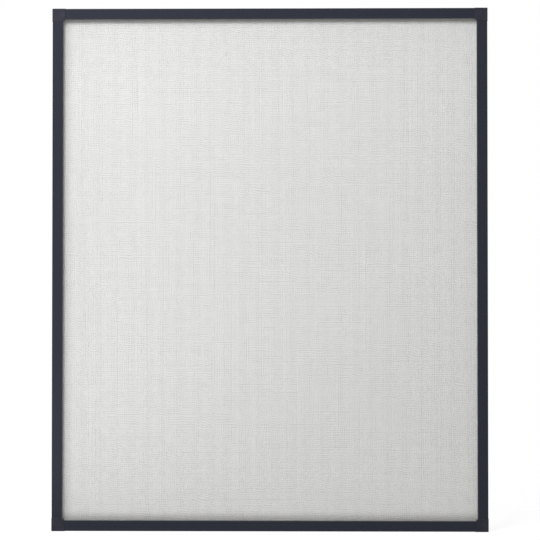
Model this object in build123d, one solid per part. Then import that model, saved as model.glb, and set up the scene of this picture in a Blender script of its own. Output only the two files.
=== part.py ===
from build123d import *
import os
from math import sqrt

# Fixed-frame insect screen for a window, in millimetres. X runs across the screen, Z up it,
# and Y through it, with the flat front towards -Y and the side with the spline towards +Y.
# The origin is the centre of the whole. Two measures place most features: "depth" counts
# from the front face of the bars towards the rear, and "offset" counts from the edge of the
# clear opening outwards, into the bars.

# Overall size, over the corner connectors
screen_width = 1000.0
screen_height = 1200.0

# Extruded aluminium bar: a closed chamber outside, a spline groove and a lip inside
face_width = 23.6
bar_depth = 10.0
bar_wall = 1.1
front_edge_radius = 0.8
rear_edge_radius = 0.5

# Spline groove, open to the rear, with a bead each side of its mouth
lip_wall = 1.2
lip_setback = 1.0
groove_width = 4.6
groove_depth = 4.8
bead_reach = 0.35
bead_height = 1.0

# Moulded corner connector: a block in line with the bars and two barbed legs inside them
corner_size = 30.0
corner_proud = 0.5
corner_front_proud = 0.3
corner_round = 1.5
corner_edge_chamfer = 0.3
chamfer_leg = 5.3
chamfer_round = 0.5
plastic_wall = 1.8
plastic_rib = 1.4
leg_length = 38.0
leg_clearance = 0.15
leg_tip_chamfer = 2.0
leg_pockets = 4
barb_height = 0.4
barb_run = 3.2
barb_pitch = 6.0
barb_start = 4.0
barb_count = 5
seam_gap = 0.2

# Fibreglass mesh, drawn as one wall with a ridge for every few threads and some open cells
fabric_thickness = 0.3
fabric_clearance = 0.05
ridge_height = 0.15
ridge_width = 2.0
field_margin = 0.5
cells_across = 80
cells_up = 96
gaps_across = 10
gaps_up = 12

# Soft spline cord, pressed into the groove on top of the mesh
spline_clearance = 0.05
spline_end_gap = 1.0
spline_ribs = 10
spline_rib_depth = 0.2

# Places that follow from the sizes above
inner_edge = corner_proud + face_width
half_width = screen_width / 2
half_height = screen_height / 2
front_y = corner_front_proud - (corner_front_proud + bar_depth) / 2
lip_rear = bar_depth - lip_setback
groove_floor = lip_rear - groove_depth
bead_floor = lip_rear - bead_height
groove_outer = lip_wall + groove_width
chamber_width = face_width - groove_outer - 2 * bar_wall
spline_diameter = groove_width - 2 * (fabric_clearance + fabric_thickness + spline_clearance)


def slab(outline, depth_from, depth_to):
    """An outline drawn in X and Z, made solid between two depths."""
    rear = Plane(origin=(0, front_y + depth_to, 0), x_dir=(1, 0, 0), z_dir=(0, -1, 0))
    return extrude(rear * outline, depth_to - depth_from)


def span(x_from, x_to, y_from, y_to):
    """A rectangle given by its edges."""
    middle = Pos((x_from + x_to) / 2, (y_from + y_to) / 2)
    return middle * Rectangle(x_to - x_from, y_to - y_from)


def opening_outline(offset):
    """The clear opening with its cut corners, let out by an offset on every side."""
    rectangle = Rectangle(2 * (half_width - inner_edge + offset), 2 * (half_height - inner_edge + offset))
    cut = chamfer(rectangle.vertices(), chamfer_leg + offset * (2 - sqrt(2)))
    return fillet(cut.vertices(), chamfer_round + offset) if chamfer_round + offset > 0 else cut


def band(offset_from, offset_to):
    """The strip around the opening between two offsets."""
    return opening_outline(offset_to) - opening_outline(offset_from)


def bar_section():
    """The section of a bar, with depth along the sketch's X and its outer edge at Y zero."""
    outline = span(0, bar_depth, 0, face_width)
    outline = fillet(outline.vertices().group_by(Axis.X)[0], front_edge_radius)
    outline = fillet(outline.vertices().group_by(Axis.X)[-1].sort_by(Axis.Y)[0], rear_edge_radius)
    groove_from = face_width - groove_outer
    groove_to = face_width - lip_wall
    outline -= span(groove_floor, bead_floor, groove_from, groove_to)
    outline -= span(bead_floor, lip_rear, groove_from + bead_reach, groove_to - bead_reach)
    outline -= span(lip_rear, bar_depth, groove_from, face_width)
    outline -= span(bar_wall, bar_depth - bar_wall, bar_wall, bar_wall + chamber_width)
    outline -= span(bar_wall, groove_floor - bar_wall, groove_from, groove_to)
    return outline


def make_bar(length, reach, turn):
    """A bar on one side of the frame: reach is from the origin to its outer edge."""
    bar = extrude(Plane.YZ * bar_section(), length / 2, both=True)
    return Pos(0, front_y, 0) * Rot(0, turn, 0) * Pos(0, 0, -reach) * bar


def corner_outline(offset):
    """The opening's outline as seen from the outer corner of a connector."""
    return Pos(half_width, half_height) * opening_outline(offset)


def corner_band(offset_from, offset_to):
    """The strip around the opening as seen from the outer corner of a connector."""
    return Pos(half_width, half_height) * band(offset_from, offset_to)


def corner_block():
    """The visible block of a connector, with the groove turning the corner in its rear."""
    square = span(0, corner_size, 0, corner_size)
    square = fillet(square.vertices().sort_by_distance((0, 0))[0], corner_round)
    block = slab(square - corner_outline(0), -corner_front_proud, bar_depth)
    block = chamfer(block.faces().sort_by(Axis.Y)[0].edges(), corner_edge_chamfer)
    block -= slab(corner_band(lip_wall, groove_outer), groove_floor, bead_floor)
    block -= slab(corner_band(lip_wall + bead_reach, groove_outer - bead_reach), bead_floor, lip_rear)
    block -= slab(corner_outline(groove_outer), lip_rear, bar_depth)
    return block


def block_pockets():
    """The two hollows that keep the block's walls even, with a rib between them."""
    hollow = span(plastic_wall, corner_size - plastic_wall, plastic_wall, corner_size - plastic_wall)
    hollow -= corner_outline(groove_outer + plastic_wall)
    hollow -= Rot(0, 0, 45) * Rectangle(3 * corner_size, plastic_rib)
    return slab(hollow, plastic_wall - corner_front_proud, bar_depth)


def connector_leg():
    """The barbed leg that slides into the chamber of the bar lying along X."""
    low = corner_proud + bar_wall + leg_clearance
    high = corner_proud + bar_wall + chamber_width - leg_clearance
    core_low = low + barb_height
    core_high = high - barb_height
    tip = corner_size + leg_length
    front = bar_wall + leg_clearance
    rear = bar_depth - bar_wall - leg_clearance
    outline = span(corner_size - plastic_wall, tip, core_low, core_high)
    outline = chamfer(outline.vertices().group_by(Axis.X)[-1], leg_tip_chamfer)
    for step in range(barb_count):
        root = corner_size + barb_start + step * barb_pitch
        outline += Polygon((root, core_low), (root, low), (root + barb_run, core_low), align=None)
        outline += Polygon((root, core_high), (root + barb_run, core_high), (root, high), align=None)
    leg = slab(outline, front, rear)
    pocket_low = core_low + plastic_wall
    pocket_high = core_high - plastic_wall
    pocket_pitch = (leg_length - plastic_wall) / leg_pockets
    for step in range(leg_pockets):
        start = corner_size + step * pocket_pitch + plastic_rib
        pocket = span(start, start + pocket_pitch - plastic_rib, pocket_low, pocket_high)
        leg -= slab(pocket, front + plastic_wall, rear)
    return leg


def make_connector(x_side, z_side, turn):
    """A corner connector, turned so that its legs point along its two bars."""
    leg = connector_leg()
    other_leg = mirror(leg, Plane(origin=(0, 0, 0), z_dir=(1, 0, -1)))
    connector = corner_block() - block_pockets() + leg + other_leg
    return Pos(x_side * half_width, 0, z_side * half_height) * Rot(0, turn, 0) * connector


def mesh_hem(front, rear):
    """The rim of the mesh, folded over the lip and down round the inside of the groove."""
    near = lip_wall + fabric_clearance
    far = groove_outer - fabric_clearance
    low = groove_floor + fabric_clearance
    shoulder = bead_floor - fabric_clearance
    hem = slab(band(near, far), low, low + fabric_thickness)
    hem += slab(band(near, near + fabric_thickness), low, shoulder)
    hem += slab(band(far - fabric_thickness, far), low, shoulder)
    near_mouth = near + bead_reach
    far_mouth = far - bead_reach
    hem += slab(band(near, near_mouth + fabric_thickness), shoulder - fabric_thickness, shoulder)
    hem += slab(band(far_mouth - fabric_thickness, far), shoulder - fabric_thickness, shoulder)
    hem += slab(band(near_mouth, near_mouth + fabric_thickness), shoulder - fabric_thickness, rear)
    hem += slab(band(far_mouth - fabric_thickness, far_mouth), shoulder - fabric_thickness, front)
    return hem


def make_mesh():
    """The fibreglass mesh: upright ridges in front, level ridges behind, and open cells."""
    front = lip_rear + fabric_clearance
    rear = front + fabric_thickness
    wall = slab(opening_outline(lip_wall + fabric_clearance + bead_reach + fabric_thickness), front, rear)
    field = opening_outline(-field_margin)
    across = 2 * (half_width - inner_edge - field_margin)
    up = 2 * (half_height - inner_edge - field_margin)
    pitch_across = across / cells_across
    pitch_up = up / cells_up
    upright = Rectangle(ridge_width, up)
    level = Rectangle(across, ridge_width)
    warp = Sketch() + [place * upright for place in GridLocations(pitch_across, 0, cells_across - 1, 1)]
    weft = Sketch() + [place * level for place in GridLocations(0, pitch_up, 1, cells_up - 1)]
    gap_spacing_across = pitch_across * (cells_across // gaps_across)
    gap_spacing_up = pitch_up * (cells_up // gaps_up)
    cell = Rectangle(pitch_across - ridge_width, pitch_up - ridge_width)
    gaps = Sketch() + [
        Pos(pitch_across / 2, pitch_up / 2) * place * cell
        for place in GridLocations(gap_spacing_across, gap_spacing_up, gaps_across, gaps_up)
    ]
    mesh = wall + mesh_hem(front, rear)
    mesh += slab(warp & field, front - ridge_height, front)
    mesh += slab(weft & field, rear, rear + ridge_height)
    return mesh - slab(gaps, front, rear)


def cord_section():
    """The cord's section: a circle with shallow ribs along the cord."""
    corners = []
    for step in range(2 * spline_ribs):
        radius = spline_diameter / 2 - (step % 2) * spline_rib_depth
        corners.append(Vector(radius, 0).rotate(Axis.Z, 180 * step / spline_ribs))
    return Polygon(*corners, align=None)


def make_spline():
    """One length of ribbed cord, led once round the groove with its ends meeting below."""
    offset = lip_wall + groove_width / 2
    depth = groove_floor + fabric_clearance + fabric_thickness + spline_clearance + spline_diameter / 2
    x = half_width - inner_edge + offset
    z = half_height - inner_edge + offset
    cut = chamfer_leg + offset * (2 - sqrt(2))
    end = spline_end_gap / 2
    route = [
        (end, -z), (x - cut, -z), (x, cut - z), (x, z - cut), (x - cut, z),
        (cut - x, z), (-x, z - cut), (-x, cut - z), (cut - x, -z), (-end, -z),
    ]
    points = [(px, front_y + depth, pz) for px, pz in route]
    path = FilletPolyline(*points, radius=chamfer_round + offset)
    return sweep(Plane(origin=points[0], z_dir=(1, 0, 0)) * cord_section(), path=path)


rail_length = screen_width - 2 * (corner_size + seam_gap)
stile_length = screen_height - 2 * (corner_size + seam_gap)
rail_reach = half_height - corner_proud
stile_reach = half_width - corner_proud

parts = {
    "bottom_rail": make_bar(rail_length, rail_reach, 0),
    "left_stile": make_bar(stile_length, stile_reach, 90),
    "top_rail": make_bar(rail_length, rail_reach, 180),
    "right_stile": make_bar(stile_length, stile_reach, 270),
    "corner_bottom_left": make_connector(-1, -1, 0),
    "corner_top_left": make_connector(-1, 1, 90),
    "corner_top_right": make_connector(1, 1, 180),
    "corner_bottom_right": make_connector(1, -1, 270),
    "insect_mesh": make_mesh(),
    "spline": make_spline(),
}

os.makedirs("parts", exist_ok=True)
for name, part in parts.items():
    export_step(part, f"parts/{name}.step")
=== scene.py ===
"""A framed insect screen for a window, dressed for a studio picture.

The bars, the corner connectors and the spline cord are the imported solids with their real
finishes. The insect mesh is built here thread by thread. Lengths are in metres.
"""

import logging
import math
from dataclasses import dataclass, field
from enum import Enum
from typing import Any

import bpy
import numpy as np
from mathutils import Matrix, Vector

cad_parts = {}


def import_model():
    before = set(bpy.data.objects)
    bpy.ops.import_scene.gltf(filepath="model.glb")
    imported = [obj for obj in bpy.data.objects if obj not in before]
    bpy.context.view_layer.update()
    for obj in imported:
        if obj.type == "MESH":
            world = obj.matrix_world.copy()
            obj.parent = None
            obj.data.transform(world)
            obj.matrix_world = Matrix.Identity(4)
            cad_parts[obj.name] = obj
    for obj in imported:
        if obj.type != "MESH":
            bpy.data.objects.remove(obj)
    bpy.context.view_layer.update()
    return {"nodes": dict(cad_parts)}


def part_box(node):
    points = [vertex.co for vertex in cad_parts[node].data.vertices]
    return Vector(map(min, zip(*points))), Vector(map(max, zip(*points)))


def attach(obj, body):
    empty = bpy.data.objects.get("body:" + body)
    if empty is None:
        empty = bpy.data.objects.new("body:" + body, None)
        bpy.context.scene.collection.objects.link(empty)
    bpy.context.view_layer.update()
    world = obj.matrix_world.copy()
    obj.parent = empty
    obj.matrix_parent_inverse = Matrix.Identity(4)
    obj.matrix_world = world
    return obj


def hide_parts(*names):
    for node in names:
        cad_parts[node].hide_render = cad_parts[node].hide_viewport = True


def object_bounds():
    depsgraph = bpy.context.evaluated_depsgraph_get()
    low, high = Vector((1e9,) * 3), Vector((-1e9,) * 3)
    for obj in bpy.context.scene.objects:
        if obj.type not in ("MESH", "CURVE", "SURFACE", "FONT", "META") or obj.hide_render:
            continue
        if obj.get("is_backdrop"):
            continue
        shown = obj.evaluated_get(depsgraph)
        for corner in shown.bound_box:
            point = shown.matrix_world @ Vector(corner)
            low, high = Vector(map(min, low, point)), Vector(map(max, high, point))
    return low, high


LOG = logging.getLogger("insect_screen")
BODY = "root"
MM = 0.001
INCH = 0.0254
WHITE = (1.0, 1.0, 1.0, 1.0)


class YarnRun(Enum):
    """The two directions that the mesh's yarns run in."""

    WARP = "warp"
    WEFT = "weft"


def linear(hex_colour: str) -> tuple[float, float, float, float]:
    """Turn an sRGB hex colour into linear values.

    Args:
        hex_colour: Six hex digits, with or without a leading hash.

    Returns:
        Red, green, blue and an alpha of one.
    """
    digits = hex_colour.lstrip("#")
    shares = [int(digits[i:i + 2], 16) / 255 for i in (0, 2, 4)]
    values = [s / 12.92 if s <= 0.04045 else ((s + 0.055) / 1.055) ** 2.4 for s in shares]
    return (*values, 1.0)


def add_node(
    tree: bpy.types.NodeTree,
    kind: str,
    settings: dict[str, Any] | None = None,
    inputs: dict[str | int, Any] | None = None,
) -> bpy.types.Node:
    """Add a node, set its properties and fill or link its sockets.

    Args:
        tree: The node tree that it joins.
        kind: The node's type name.
        settings: Properties of the node by name.
        inputs: Socket values by name or number; an output socket is linked.

    Returns:
        The new node.
    """
    node = tree.nodes.new(kind)
    for name, value in (settings or {}).items():
        setattr(node, name, value)
    for name, value in (inputs or {}).items():
        if isinstance(value, bpy.types.NodeSocket):
            tree.links.new(value, node.inputs[name])
        else:
            node.inputs[name].default_value = value
    return node


def new_material(name: str) -> tuple[bpy.types.Material, bpy.types.NodeTree]:
    """Make a material with an empty node tree.

    Args:
        name: The material's name.

    Returns:
        The material and its node tree.
    """
    material = bpy.data.materials.new(name)
    material.use_nodes = True
    material.node_tree.nodes.clear()
    return material, material.node_tree


def background_rays(tree: bpy.types.NodeTree) -> bpy.types.NodeSocket:
    """Tell the rays that see the background, straight from the camera or by gloss or glass.

    Args:
        tree: The node tree that asks.

    Returns:
        A socket that gives one for such a ray, and zero for one that only carries light.
    """
    path = add_node(tree, "ShaderNodeLightPath")
    shiny = add_node(
        tree,
        "ShaderNodeMath",
        {"operation": "MAXIMUM"},
        {0: path.outputs["Is Glossy Ray"], 1: path.outputs["Is Transmission Ray"]},
    )
    seen = add_node(
        tree,
        "ShaderNodeMath",
        {"operation": "MAXIMUM"},
        {0: path.outputs["Is Camera Ray"], 1: shiny.outputs["Value"]},
    )
    return seen.outputs["Value"]


def dress(piece: bpy.types.Object, *materials: bpy.types.Material) -> None:
    """Give a piece its materials, in the order of its slots.

    Args:
        piece: The object to dress.
        materials: One material for each slot.
    """
    piece.data.materials.clear()
    for material in materials:
        piece.data.materials.append(material)


@dataclass(frozen=True)
class PowderCoatedAluminium:
    """Extruded aluminium, blasted and powder-coated in anthracite.

    The cured powder is a paint with a fine orange-peel skin, so it is dull, even and
    slightly speckled, and no bare metal shows.
    """

    colour: str = "#2A2D36"
    speckle: str = "#23252D"
    roughness: float = 0.34
    gloss: float = 0.06
    ior: float = 1.5
    peel_size: float = 1.6 * MM
    peel_detail: float = 1.0
    peel_height: float = 0.012 * MM
    grain_size: float = 0.5 * MM
    grain_detail: float = 2.0
    speckle_below: float = 0.38
    colour_above: float = 0.56

    def material(self) -> bpy.types.Material:
        """Build the coat's node material."""
        material, tree = new_material("powder_coated_aluminium")
        place = add_node(tree, "ShaderNodeTexCoord").outputs["Object"]
        # Powder grains are about 0.06 mm across, and are drawn at 0.5 mm so that they show
        grain = add_node(
            tree,
            "ShaderNodeTexNoise",
            inputs={"Vector": place, "Scale": 1 / self.grain_size, "Detail": self.grain_detail},
        )
        tint = add_node(tree, "ShaderNodeValToRGB", inputs={"Fac": grain.outputs["Fac"]})
        low, high = tint.color_ramp.elements
        low.position, high.position = self.speckle_below, self.colour_above
        low.color, high.color = linear(self.speckle), linear(self.colour)
        peel = add_node(
            tree,
            "ShaderNodeTexNoise",
            inputs={"Vector": place, "Scale": 1 / self.peel_size, "Detail": self.peel_detail},
        )
        bump = add_node(
            tree, "ShaderNodeBump", inputs={"Height": peel.outputs["Fac"], "Distance": self.peel_height}
        )
        shader = add_node(
            tree,
            "ShaderNodeBsdfPrincipled",
            inputs={
                "Base Color": tint.outputs["Color"],
                "Roughness": self.roughness,
                "IOR": self.ior,
                "Specular IOR Level": self.gloss,
                "Normal": bump.outputs["Normal"],
            },
        )
        add_node(tree, "ShaderNodeOutputMaterial", inputs={"Surface": shader.outputs["BSDF"]})
        return material


@dataclass(frozen=True)
class MouldedPolyamide:
    """Dyed polyamide, injection-moulded in a spark-eroded tool.

    The tool leaves a fine even grain that scatters the light, so the connector looks a
    little lighter and warmer than the coated bars beside it.
    """

    colour: str = "#2D2D37"
    shade: str = "#272730"
    roughness: float = 0.4
    gloss: float = 0.08
    ior: float = 1.53
    grain_size: float = 0.7 * MM
    grain_detail: float = 2.0
    grain_height: float = 0.03 * MM
    cloud_size: float = 12 * MM
    cloud_detail: float = 3.0
    shade_below: float = 0.35
    colour_above: float = 0.65

    def material(self) -> bpy.types.Material:
        """Build the moulding's node material."""
        material, tree = new_material("moulded_polyamide")
        place = add_node(tree, "ShaderNodeTexCoord").outputs["Object"]
        cloud = add_node(
            tree,
            "ShaderNodeTexNoise",
            inputs={"Vector": place, "Scale": 1 / self.cloud_size, "Detail": self.cloud_detail},
        )
        tint = add_node(tree, "ShaderNodeValToRGB", inputs={"Fac": cloud.outputs["Fac"]})
        low, high = tint.color_ramp.elements
        low.position, high.position = self.shade_below, self.colour_above
        low.color, high.color = linear(self.shade), linear(self.colour)
        # Spark erosion is about 0.1 mm coarse, and is drawn at 0.7 mm so that it shows
        grain = add_node(
            tree,
            "ShaderNodeTexNoise",
            inputs={"Vector": place, "Scale": 1 / self.grain_size, "Detail": self.grain_detail},
        )
        bump = add_node(
            tree, "ShaderNodeBump", inputs={"Height": grain.outputs["Fac"], "Distance": self.grain_height}
        )
        shader = add_node(
            tree,
            "ShaderNodeBsdfPrincipled",
            inputs={
                "Base Color": tint.outputs["Color"],
                "Roughness": self.roughness,
                "IOR": self.ior,
                "Specular IOR Level": self.gloss,
                "Normal": bump.outputs["Normal"],
            },
        )
        add_node(tree, "ShaderNodeOutputMaterial", inputs={"Surface": shader.outputs["BSDF"]})
        return material


@dataclass(frozen=True)
class CoatedFibreglassYarn:
    """Fibreglass yarn in a grey PVC coat, woven and then fused at the crossings.

    The coat is thicker in some stretches than in others, so a yarn shows longer and
    shorter streaks of lighter and darker grey, which give the mesh its linen look. The real
    streaks are as thin as a yarn, 0.28 mm, and are drawn coarser so that they show.
    """

    light: str = "#CFCCC0"
    dark: str = "#4A4840"
    roughness: float = 0.45
    ior: float = 1.53
    streak_length: float = 14 * MM
    streak_width: float = 2.3 * MM
    streak_depth: float = 1.1
    streak_detail: float = 2.0
    warp_band: float = 3 * INCH / 18
    weft_band: float = 3 * INCH / 16
    warp_band_depth: float = 0.3
    weft_band_depth: float = 0.7
    swell: float = 37 * MM
    warp_swell_depth: float = 0.08
    weft_swell_depth: float = 0.07
    warp_lean: float = 0.0
    weft_lean: float = 0.12
    mottle_size: float = 11 * MM
    mottle_depth: float = 0.24
    mottle_detail: float = 1.0
    drift_size: float = 70 * MM
    drift: float = 26 * MM

    def streaks(
        self, tree: bpy.types.NodeTree, place: bpy.types.NodeSocket, run: YarnRun
    ) -> bpy.types.NodeSocket:
        """Make the coat's long thin streaks, which lie along the yarn.

        Args:
            tree: The material's node tree.
            place: The point on the mesh.
            run: Which way the yarns run.

        Returns:
            A socket with the streaks' tone.
        """
        thin = 1 / self.streak_width
        long = 1 / self.streak_length
        stretch = (thin, 0.0, long) if run is YarnRun.WARP else (long, 0.0, thin)
        scaled = add_node(tree, "ShaderNodeVectorMath", {"operation": "MULTIPLY"}, {0: place, 1: stretch})
        streak = add_node(
            tree,
            "ShaderNodeTexNoise",
            inputs={"Vector": scaled.outputs["Vector"], "Scale": 1.0, "Detail": self.streak_detail},
        )
        return streak.outputs["Fac"]

    def place_across(
        self, tree: bpy.types.NodeTree, place: bpy.types.NodeSocket, run: YarnRun
    ) -> bpy.types.NodeSocket:
        """Measure the place across the yarns, with the lean and the drift that the bands follow.

        Args:
            tree: The material's node tree.
            place: The point on the mesh.
            run: Which way the yarns run.

        Returns:
            A socket with the place in metres.
        """
        drift = add_node(tree, "ShaderNodeTexNoise", inputs={"Vector": place, "Scale": 1 / self.drift_size})
        axes = add_node(tree, "ShaderNodeSeparateXYZ", inputs={"Vector": place})
        upright, level = axes.outputs["Z"], axes.outputs["X"]
        if run is YarnRun.WARP:
            sockets = {0: upright, 1: self.warp_lean, 2: level}
        else:
            sockets = {0: level, 1: self.weft_lean, 2: upright}
        leaning = add_node(tree, "ShaderNodeMath", {"operation": "MULTIPLY_ADD"}, sockets)
        across = add_node(
            tree,
            "ShaderNodeMath",
            {"operation": "MULTIPLY_ADD"},
            {0: drift.outputs["Fac"], 1: self.drift, 2: leaning.outputs["Value"]},
        )
        return across.outputs["Value"]

    def bands(
        self, tree: bpy.types.NodeTree, across: bpy.types.NodeSocket, run: YarnRun
    ) -> bpy.types.NodeSocket:
        """Make the bands of lighter and darker yarns, and the slow swell over them.

        Args:
            tree: The material's node tree.
            across: The place across the yarns.
            run: Which way the yarns run.

        Returns:
            A socket with the bands' tone, set so that the streaks and the mottle bring it to a half.
        """
        if run is YarnRun.WARP:
            waves = ((self.warp_band, self.warp_band_depth), (self.swell, self.warp_swell_depth))
        else:
            waves = ((self.weft_band, self.weft_band_depth), (self.swell, self.weft_swell_depth))
        tone = 0.5 - (self.streak_depth + self.mottle_depth) / 2
        for period, depth in waves:
            angle = add_node(
                tree, "ShaderNodeMath", {"operation": "MULTIPLY"}, {0: across, 1: 2 * math.pi / period}
            )
            wave = add_node(tree, "ShaderNodeMath", {"operation": "SINE"}, {0: angle.outputs["Value"]})
            waved = add_node(
                tree,
                "ShaderNodeMath",
                {"operation": "MULTIPLY_ADD"},
                {0: wave.outputs["Value"], 1: depth, 2: tone},
            )
            tone = waved.outputs["Value"]
        return tone

    def material(self, run: YarnRun) -> bpy.types.Material:
        """Build the yarn's node material.

        Args:
            run: Which way the yarns run, and so which way their streaks and bands lie.

        Returns:
            The material for the yarns of that run.
        """
        material, tree = new_material(f"coated_fibreglass_{run.value}")
        place = add_node(tree, "ShaderNodeTexCoord").outputs["Object"]
        streaks = self.streaks(tree, place, run)
        # A yarn is finer than a pixel of the picture, so the tone runs in bands three yarns wide,
        # and it swells slowly over them, as fine cloth does where it beats against the pixels
        bands = self.bands(tree, self.place_across(tree, place, run), run)
        # The coat gathers in patches that cross from yarn to yarn
        mottle = add_node(
            tree,
            "ShaderNodeTexNoise",
            inputs={"Vector": place, "Scale": 1 / self.mottle_size, "Detail": self.mottle_detail},
        )
        mottled = add_node(
            tree,
            "ShaderNodeMath",
            {"operation": "MULTIPLY_ADD"},
            {0: mottle.outputs["Fac"], 1: self.mottle_depth, 2: bands},
        )
        tone = add_node(
            tree,
            "ShaderNodeMath",
            {"operation": "MULTIPLY_ADD", "use_clamp": True},
            {0: streaks, 1: self.streak_depth, 2: mottled.outputs["Value"]},
        )
        tint = add_node(
            tree,
            "ShaderNodeMixRGB",
            inputs={"Fac": tone.outputs["Value"], "Color1": linear(self.dark), "Color2": linear(self.light)},
        )
        shader = add_node(
            tree,
            "ShaderNodeBsdfPrincipled",
            inputs={"Base Color": tint.outputs["Color"], "Roughness": self.roughness, "IOR": self.ior},
        )
        add_node(tree, "ShaderNodeOutputMaterial", inputs={"Surface": shader.outputs["BSDF"]})
        return material


@dataclass(frozen=True)
class SoftPvcCord:
    """Soft extruded PVC, dull and slightly dusty, with fine lines from the die."""

    colour: str = "#2B2C2F"
    bloom: str = "#3C3D40"
    roughness: float = 0.66
    ior: float = 1.54
    bloom_size: float = 9 * MM
    bloom_detail: float = 4.0
    colour_below: float = 0.4
    bloom_above: float = 0.75

    def material(self) -> bpy.types.Material:
        """Build the cord's node material."""
        material, tree = new_material("soft_pvc_cord")
        place = add_node(tree, "ShaderNodeTexCoord").outputs["Object"]
        bloom = add_node(
            tree,
            "ShaderNodeTexNoise",
            inputs={"Vector": place, "Scale": 1 / self.bloom_size, "Detail": self.bloom_detail},
        )
        tint = add_node(tree, "ShaderNodeValToRGB", inputs={"Fac": bloom.outputs["Fac"]})
        low, high = tint.color_ramp.elements
        low.position, high.position = self.colour_below, self.bloom_above
        low.color, high.color = linear(self.colour), linear(self.bloom)
        shader = add_node(
            tree,
            "ShaderNodeBsdfPrincipled",
            inputs={"Base Color": tint.outputs["Color"], "Roughness": self.roughness, "IOR": self.ior},
        )
        add_node(tree, "ShaderNodeOutputMaterial", inputs={"Surface": shader.outputs["BSDF"]})
        return material


@dataclass
class ScreenFrame:
    """The four bars and the four connectors that join them."""

    bars: tuple[str, ...] = ("top_rail", "bottom_rail", "left_stile", "right_stile")
    connectors: tuple[str, ...] = (
        "corner_top_left",
        "corner_top_right",
        "corner_bottom_left",
        "corner_bottom_right",
    )
    coat: PowderCoatedAluminium = field(default_factory=PowderCoatedAluminium)
    moulding: MouldedPolyamide = field(default_factory=MouldedPolyamide)

    def dress(self, nodes: dict[str, bpy.types.Object]) -> None:
        """Dress the bars and the connectors.

        Args:
            nodes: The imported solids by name.
        """
        coat = self.coat.material()
        moulding = self.moulding.material()
        for name in self.bars:
            dress(nodes[name], coat)
            LOG.info("dressed %s", name)
        for name in self.connectors:
            dress(nodes[name], moulding)
            LOG.info("dressed %s", name)


@dataclass
class SplineCord:
    """The soft cord that holds the mesh in the groove."""

    node: str = "spline"
    cord: SoftPvcCord = field(default_factory=SoftPvcCord)

    def dress(self, nodes: dict[str, bpy.types.Object]) -> None:
        """Dress the cord.

        Args:
            nodes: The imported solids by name.
        """
        dress(nodes[self.node], self.cord.material())
        LOG.info("dressed %s", self.node)


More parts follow.
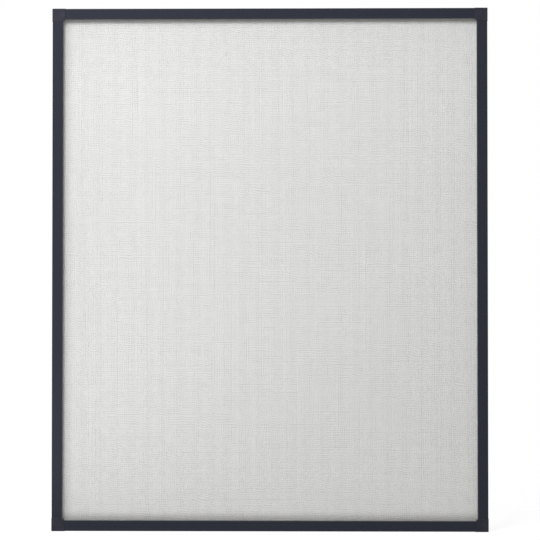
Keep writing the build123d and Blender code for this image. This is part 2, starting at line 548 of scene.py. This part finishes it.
@dataclass
class InsectMesh:
    """The woven mesh, thread by thread, from one cut edge in the groove to the other.

    Offset counts outwards from the edge of the clear opening, and depth counts from the
    front face of the bars towards the rear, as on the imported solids.
    """

    warp_pitch: float = INCH / 18
    weft_pitch: float = INCH / 16
    yarn_width: float = 0.28 * MM
    warp_depth: float = 9.17 * MM
    weft_depth: float = 9.35 * MM
    spacing_error: float = 0.06 * MM
    wander: float = 0.22 * MM
    bends: int = 5
    chamfer_leg: float = 5.3 * MM
    lip_wall: float = 1.2 * MM
    groove_width: float = 4.6 * MM
    bead_reach: float = 0.35 * MM
    groove_floor: float = 4.2 * MM
    bead_floor: float = 8.0 * MM
    wall_gap: float = 0.2 * MM
    cut_depth: float = 9.15 * MM
    cut_error: float = 0.35 * MM
    cut_short: float = 1.0 * MM
    cut_long: float = 0.5 * MM
    seed: int = 11
    yarn: CoatedFibreglassYarn = field(default_factory=CoatedFibreglassYarn)

    def half_opening(self) -> tuple[float, float]:
        """Read half the clear opening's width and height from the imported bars."""
        return -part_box("left_stile")[1][0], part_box("top_rail")[0][2]

    def rim_path(self, plane: float) -> list[tuple[float, float]]:
        """List the yarn's points over the lip and down round the groove.

        Args:
            plane: The depth of the yarn where it lies flat.

        Returns:
            Offset and depth of each point, from the lip to the cut end.
        """
        near = self.lip_wall + self.wall_gap
        far = self.lip_wall + self.groove_width - self.wall_gap
        low = self.groove_floor + self.wall_gap
        return [
            (near + self.bead_reach, plane),
            (near + self.bead_reach, self.bead_floor - self.wall_gap),
            (near, low),
            (far, low),
            (far - self.bead_reach, self.bead_floor - self.wall_gap),
            (far - self.bead_reach, self.cut_depth),
        ]

    def yarn_paths(self, run: YarnRun, rng: np.random.Generator) -> np.ndarray:
        """Lay out the yarns of one run.

        Args:
            run: Warp for the upright yarns, weft for the level ones.
            rng: The seeded source of the weave's unevenness.

        Returns:
            For each yarn, points of place across, place along, and depth.
        """
        half_width, half_height = self.half_opening()
        warp = run is YarnRun.WARP
        half_across, half_along = (half_width, half_height) if warp else (half_height, half_width)
        pitch = self.warp_pitch if warp else self.weft_pitch
        plane = self.warp_depth if warp else self.weft_depth
        count = int((half_across + self.lip_wall) / pitch)
        across = pitch * np.arange(-count, count + 1) + rng.normal(0, self.spacing_error, 2 * count + 1)
        over = np.maximum(np.abs(across) - (half_across - self.chamfer_leg), 0)
        edge = half_along - over
        slant = np.where(over > 0, math.sqrt(2), 1)
        rim = self.rim_path(plane)
        paths = []
        for side in (-1, 1):
            points = []
            for offset, depth in rim:
                along = side * (edge + offset * slant)
                points.append(np.stack([across, along, np.full_like(across, depth)], 1))
            uneven = rng.normal(0, self.cut_error, len(across))
            points[-1][:, 2] += np.clip(uneven, -self.cut_short, self.cut_long)
            paths.append(np.stack(points, 1))
        steps = np.linspace(-1, 1, self.bends + 2)[1:-1]
        wander = rng.normal(0, self.wander, (len(across), self.bends))
        middle = np.stack(
            [across[:, None] + wander, edge[:, None] * steps[None, :], np.full(wander.shape, plane)], 2
        )
        return np.concatenate([paths[0][:, ::-1], middle, paths[1]], 1)

    def yarn_rings(self, paths: np.ndarray) -> np.ndarray:
        """Put a ring of four points round each point of each yarn.

        Args:
            paths: The yarns' points as yarn_paths gives them.

        Returns:
            An array of yarns, points, four corners and three coordinates.
        """
        radius = self.yarn_width / 2
        tangent = np.gradient(paths, axis=1)
        tangent[..., 0] = 0
        tangent /= np.linalg.norm(tangent, axis=2, keepdims=True)
        side = np.zeros_like(paths)
        side[..., 0] = 1
        up = np.cross(tangent, side)
        return np.stack([paths + radius * d for d in (side, up, -side, -up)], 2)

    def mesh_data(self) -> tuple[np.ndarray, np.ndarray, np.ndarray]:
        """Work out the whole mesh's vertices and faces.

        Returns:
            The vertices, the four-sided faces, and each face's material number.
        """
        rng = np.random.default_rng(self.seed)
        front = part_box("top_rail")[0][1]
        vertices, faces, slots = [], [], []
        start = 0
        for number, run in enumerate(YarnRun):
            rings = self.yarn_rings(self.yarn_paths(run, rng))
            yarns, points = rings.shape[:2]
            # Across, along and depth become X, Z and Y for the warp, and Z, X and Y for the weft
            order = [0, 2, 1] if run is YarnRun.WARP else [1, 2, 0]
            placed = rings[..., order].reshape(-1, 3)
            placed[:, 1] += front
            index = start + np.arange(yarns * points * 4).reshape(yarns, points, 4)
            turned = np.roll(index, -1, axis=2)
            quads = np.stack([index[:, :-1], turned[:, :-1], turned[:, 1:], index[:, 1:]], 3).reshape(-1, 4)
            vertices.append(placed)
            faces.append(quads)
            slots.append(np.full(len(quads), number))
            start += len(placed)
        return np.concatenate(vertices), np.concatenate(faces), np.concatenate(slots)

    def build(self) -> None:
        """Build the mesh in place of its plain solid and dress it."""
        vertices, faces, slots = self.mesh_data()
        data = bpy.data.meshes.new("insect_mesh_yarns")
        data.from_pydata(vertices.tolist(), [], faces.tolist())
        for run in YarnRun:
            data.materials.append(self.yarn.material(run))
        data.polygons.foreach_set("material_index", slots.astype(np.int32))
        data.polygons.foreach_set("use_smooth", np.ones(len(faces), bool))
        data.update()
        piece = bpy.data.objects.new("insect_mesh_yarns", data)
        bpy.context.scene.collection.objects.link(piece)
        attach(piece, BODY)
        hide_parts("insect_mesh")
        LOG.info("built insect_mesh_yarns, %d faces", len(faces))


@dataclass(frozen=True)
class SoftLamp:
    """A soft rectangular lamp: where it hangs, what it faces, and how much it gives."""

    place: tuple[float, float, float]
    aim: tuple[float, float, float]
    size: tuple[float, float]
    power: float
    spread: float = 180.0


@dataclass(frozen=True)
class PaintedEdgeShade:
    """A soft shade painted into the white card's colour beside one bar: how far it reaches, and the share of
    the colour that it takes.
    """

    reach: float
    depth: float


@dataclass
class PhotoStage:
    """The white surfaces, the lamps and the camera."""

    camera_distance: float = 3.1
    camera_right: float = 0.038
    camera_low: float = 0.045
    aim: Vector = field(default_factory=lambda: Vector((0.9 * MM, 0.0, -1.8 * MM)))
    metres_a_pixel: float = 0.002295
    picture_pixels: int = 540
    sensor_width: float = 36.0
    card_gap: float = 0.6 * MM
    card_inset: float = 12 * MM
    card_glow: float = 0.097
    card_colour: str = "#F0F1F3"
    # Painted shade in the white card's colour beside the top rail, the bottom rail and the left stile
    top_painted_shade: PaintedEdgeShade = PaintedEdgeShade(12 * MM, 0.5)
    low_painted_shade: PaintedEdgeShade = PaintedEdgeShade(24 * MM, 0.42)
    left_painted_shade: PaintedEdgeShade = PaintedEdgeShade(28 * MM, 0.2)
    floor_radius: float = 1.1
    floor_glow: float = 0.87
    floor_shade: str = "#707070"
    floor_colour: str = "#DCDCDC"
    ambient: float = 0.43
    key_lamp: SoftLamp = SoftLamp((-1.4, -2.3, 2.7), (-1.2, 0.0, 0.4), (1.5, 1.7), 163.0)
    top_lamp: SoftLamp = SoftLamp((-0.7, -0.6, 1.9), (-0.8, 0.0, 0.4), (1.0, 0.7), 6.0)
    low_lamp: SoftLamp = SoftLamp((-1.6, -2.4, -1.2), (-1.6, 0.0, -0.7), (1.4, 1.2), 18.0, 120.0)

    def white_floor(self) -> bpy.types.Material:
        """Build the floor's material, which looks white and keeps the object's shadow."""
        material, tree = new_material("pale_floor")
        glow = add_node(
            tree, "ShaderNodeEmission", inputs={"Color": WHITE, "Strength": self.floor_glow}
        )
        shaded = add_node(tree, "ShaderNodeBsdfDiffuse", inputs={"Color": linear(self.floor_shade)})
        shown = add_node(
            tree, "ShaderNodeAddShader", inputs={0: glow.outputs["Emission"], 1: shaded.outputs["BSDF"]}
        )
        pale = add_node(tree, "ShaderNodeBsdfDiffuse", inputs={"Color": linear(self.floor_colour)})
        surface = add_node(
            tree,
            "ShaderNodeMixShader",
            inputs={0: background_rays(tree), 1: pale.outputs["BSDF"], 2: shown.outputs["Shader"]},
        )
        # The floor fades out before its edge, so that no view shows where it ends
        place = add_node(tree, "ShaderNodeTexCoord").outputs["Object"]
        spot = add_node(
            tree, "ShaderNodeVectorMath", {"operation": "MULTIPLY"}, {0: place, 1: (1.0, 1.0, 0.0)}
        )
        reach = add_node(
            tree, "ShaderNodeVectorMath", {"operation": "LENGTH"}, {0: spot.outputs["Vector"]}
        )
        fade = add_node(
            tree,
            "ShaderNodeMapRange",
            {"interpolation_type": "SMOOTHSTEP"},
            {
                "Value": reach.outputs["Value"],
                "From Min": self.floor_radius / 2,
                "From Max": self.floor_radius,
            },
        )
        clear = add_node(tree, "ShaderNodeBsdfTransparent")
        faded = add_node(
            tree,
            "ShaderNodeMixShader",
            inputs={0: fade.outputs["Result"], 1: surface.outputs["Shader"], 2: clear.outputs["BSDF"]},
        )
        add_node(tree, "ShaderNodeOutputMaterial", inputs={"Surface": faded.outputs["Shader"]})
        return material

    def painted_card_shade(self, tree: bpy.types.NodeTree) -> bpy.types.NodeSocket:
        """Paint a soft shade into the card's colour beside the top rail, the bottom rail and the left stile.

        Args:
            tree: The card's node tree.

        Returns:
            A socket with the share of the card's colour that the painted shade leaves.
        """
        place = add_node(tree, "ShaderNodeTexCoord").outputs["Object"]
        axes = add_node(tree, "ShaderNodeSeparateXYZ", inputs={"Vector": place})
        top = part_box("top_rail")[0][2]
        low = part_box("bottom_rail")[1][2]
        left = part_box("left_stile")[1][0]
        edges = (
            (axes.outputs["Z"], top, top - self.top_painted_shade.reach, self.top_painted_shade),
            (axes.outputs["Z"], low, low + self.low_painted_shade.reach, self.low_painted_shade),
            (axes.outputs["X"], left, left + self.left_painted_shade.reach, self.left_painted_shade),
        )
        # light is the share of the card's colour that the painted shade leaves, not real light; each bar's
        # painted shade multiplies into it
        light = 1.0
        for across, edge, clear, shade in edges:
            dimmed = add_node(
                tree,
                "ShaderNodeMapRange",
                {"interpolation_type": "SMOOTHSTEP"},
                {
                    "Value": across,
                    "From Min": edge,
                    "From Max": clear,
                    "To Min": 1 - shade.depth,
                    "To Max": 1.0,
                },
            )
            product = add_node(
                tree, "ShaderNodeMath", {"operation": "MULTIPLY"}, {0: light, 1: dimmed.outputs["Result"]}
            )
            light = product.outputs["Value"]
        return light

    def white_card(self) -> bpy.types.Material:
        """Build the card's material, which only the camera sees, and only from the front; its colour carries
        the painted shade beside three bars.
        """
        material, tree = new_material("white_card")
        # The card's colour times the painted shade, which both its glow and its diffuse take
        tint = add_node(
            tree,
            "ShaderNodeVectorMath",
            {"operation": "SCALE"},
            {0: linear(self.card_colour)[:3], "Scale": self.painted_card_shade(tree)},
        )
        path = add_node(tree, "ShaderNodeLightPath")
        side = add_node(tree, "ShaderNodeNewGeometry")
        front = add_node(
            tree, "ShaderNodeMath", {"operation": "SUBTRACT"}, {0: 1.0, 1: side.outputs["Backfacing"]}
        )
        seen = add_node(
            tree,
            "ShaderNodeMath",
            {"operation": "MULTIPLY"},
            {0: path.outputs["Is Camera Ray"], 1: front.outputs["Value"]},
        )
        glow = add_node(
            tree, "ShaderNodeEmission", inputs={"Color": tint.outputs["Vector"], "Strength": self.card_glow}
        )
        card = add_node(tree, "ShaderNodeBsdfDiffuse", inputs={"Color": tint.outputs["Vector"]})
        shown = add_node(
            tree, "ShaderNodeAddShader", inputs={0: glow.outputs["Emission"], 1: card.outputs["BSDF"]}
        )
        clear = add_node(tree, "ShaderNodeBsdfTransparent")
        surface = add_node(
            tree,
            "ShaderNodeMixShader",
            inputs={0: seen.outputs["Value"], 1: clear.outputs["BSDF"], 2: shown.outputs["Shader"]},
        )
        add_node(tree, "ShaderNodeOutputMaterial", inputs={"Surface": surface.outputs["Shader"]})
        return material

    def sheet(
        self, name: str, corners: list[tuple[float, float, float]], material: bpy.types.Material
    ) -> None:
        """Lay a flat four-cornered stage surface.

        Args:
            name: The surface's name.
            corners: Its corners, anticlockwise as seen from its front.
            material: What it is made of.
        """
        data = bpy.data.meshes.new(name)
        data.from_pydata(corners, [], [(0, 1, 2, 3)])
        data.materials.append(material)
        surface = bpy.data.objects.new(name, data)
        bpy.context.scene.collection.objects.link(surface)
        surface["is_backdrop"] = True

    def surfaces(self) -> None:
        """Lay the pale floor, and the white card just behind the screen."""
        low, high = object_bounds()
        reach = self.floor_radius
        corners = [(x * reach, y * reach, low[2]) for x, y in ((-1, -1), (1, -1), (1, 1), (-1, 1))]
        self.sheet("floor", corners, self.white_floor())
        left, right = low[0] + self.card_inset, high[0] - self.card_inset
        bottom, top = low[2] + self.card_inset, high[2] - self.card_inset
        rear = high[1] + self.card_gap
        self.sheet(
            "white_card",
            [(left, rear, bottom), (right, rear, bottom), (right, rear, top), (left, rear, top)],
            self.white_card(),
        )

    def hang(self, name: str, lamp: SoftLamp) -> None:
        """Hang one soft rectangular lamp.

        Args:
            name: The lamp's name.
            lamp: Where it hangs, and its size, power and spread.
        """
        data = bpy.data.lights.new(name, "AREA")
        data.shape = "RECTANGLE"
        data.size, data.size_y = lamp.size
        data.energy = lamp.power
        data.spread = math.radians(lamp.spread)
        piece = bpy.data.objects.new(name, data)
        piece.location = lamp.place
        piece.rotation_euler = (Vector(lamp.aim) - Vector(lamp.place)).to_track_quat("-Z", "Y").to_euler()
        bpy.context.scene.collection.objects.link(piece)

    def light(self) -> None:
        """Hang the lamps and set the even light from all round."""
        self.hang("key_lamp", self.key_lamp)
        self.hang("top_lamp", self.top_lamp)
        self.hang("low_lamp", self.low_lamp)
        world = bpy.data.worlds.new("studio")
        world.use_nodes = True
        tree = world.node_tree
        tree.nodes.clear()
        strength = add_node(
            tree,
            "ShaderNodeMapRange",
            inputs={"Value": background_rays(tree), "To Min": self.ambient, "To Max": 1.0},
        )
        glow = add_node(
            tree,
            "ShaderNodeBackground",
            inputs={"Color": WHITE, "Strength": strength.outputs["Result"]},
        )
        add_node(tree, "ShaderNodeOutputWorld", inputs={"Surface": glow.outputs["Background"]})
        bpy.context.scene.world = world

    def camera(self) -> None:
        """Stand the camera square to the screen, a little low and to the right."""
        data = bpy.data.cameras.new("camera")
        data.sensor_width = self.sensor_width
        data.lens = self.sensor_width * self.camera_distance / (self.picture_pixels * self.metres_a_pixel)
        camera = bpy.data.objects.new("camera", data)
        camera.location = (self.camera_right, -self.camera_distance, -self.camera_low)
        camera.rotation_euler = (self.aim - camera.location).to_track_quat("-Z", "Y").to_euler()
        bpy.context.scene.collection.objects.link(camera)
        bpy.context.scene.camera = camera

    def build(self) -> None:
        """Set up the surfaces, the light and the camera."""
        self.surfaces()
        self.light()
        self.camera()
        bpy.context.scene.view_settings.view_transform = "Standard"
        LOG.info("set the stage")


def main() -> None:
    """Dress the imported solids, build the mesh and set the stage."""
    logging.basicConfig(level=logging.INFO, format="%(name)s: %(message)s")
    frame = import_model()
    ScreenFrame().dress(frame["nodes"])
    SplineCord().dress(frame["nodes"])
    InsectMesh().build()
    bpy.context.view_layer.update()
    PhotoStage().build()


if __name__ == "__main__":
    main()
